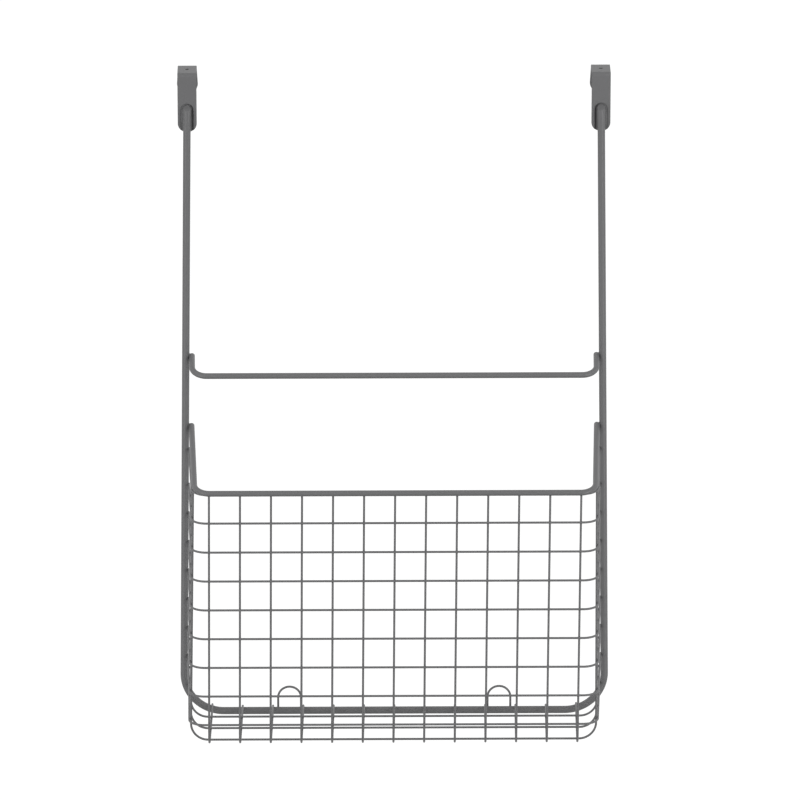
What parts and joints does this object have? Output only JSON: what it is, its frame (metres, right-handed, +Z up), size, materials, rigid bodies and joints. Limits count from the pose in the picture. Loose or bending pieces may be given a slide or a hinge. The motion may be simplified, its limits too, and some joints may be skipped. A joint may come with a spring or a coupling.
{
  "type": "cabinet door organizer",
  "caption": "Wire basket and towel bar on a rod frame that hangs over a cabinet door on stamped hooks.",
  "frame": {"origin": "midway between the hooks, on the line where the door's front face meets its top edge", "axes": "+Z up along the frame, +X to the right for someone facing the door, the basket stands out towards -Y"},
  "size_m": [0.3242, 0.1115, 0.5082],
  "materials": {
    "powder_coat": "satin grey powder coat"
  },
  "bodies": {
    "root": {"frame_rod": "powder_coat", "towel_bar": "powder_coat", "basket_rim": "powder_coat", "rim_wire": "powder_coat", "hook_left": "powder_coat", "hook_right": "powder_coat", "rest_loop_left": "powder_coat", "rest_loop_right": "powder_coat", "front_wire_01": "powder_coat", "front_wire_02": "powder_coat", "front_wire_03": "powder_coat", "front_wire_04": "powder_coat", "front_wire_05": "powder_coat", "front_wire_06": "powder_coat", "front_wire_07": "powder_coat", "front_wire_08": "powder_coat", "front_wire_09": "powder_coat", "front_wire_10": "powder_coat", "front_wire_11": "powder_coat", "front_wire_12": "powder_coat", "front_wire_13": "powder_coat", "band_wire_1": "powder_coat", "band_wire_2": "powder_coat", "band_wire_3": "powder_coat", "band_wire_4": "powder_coat", "band_wire_5": "powder_coat", "band_wire_6": "powder_coat", "band_wire_7": "powder_coat", "band_wire_8": "powder_coat", "cradle_wire_1": "powder_coat", "cradle_wire_2": "powder_coat", "cradle_wire_3": "powder_coat"}
  },
  "joints": []
}
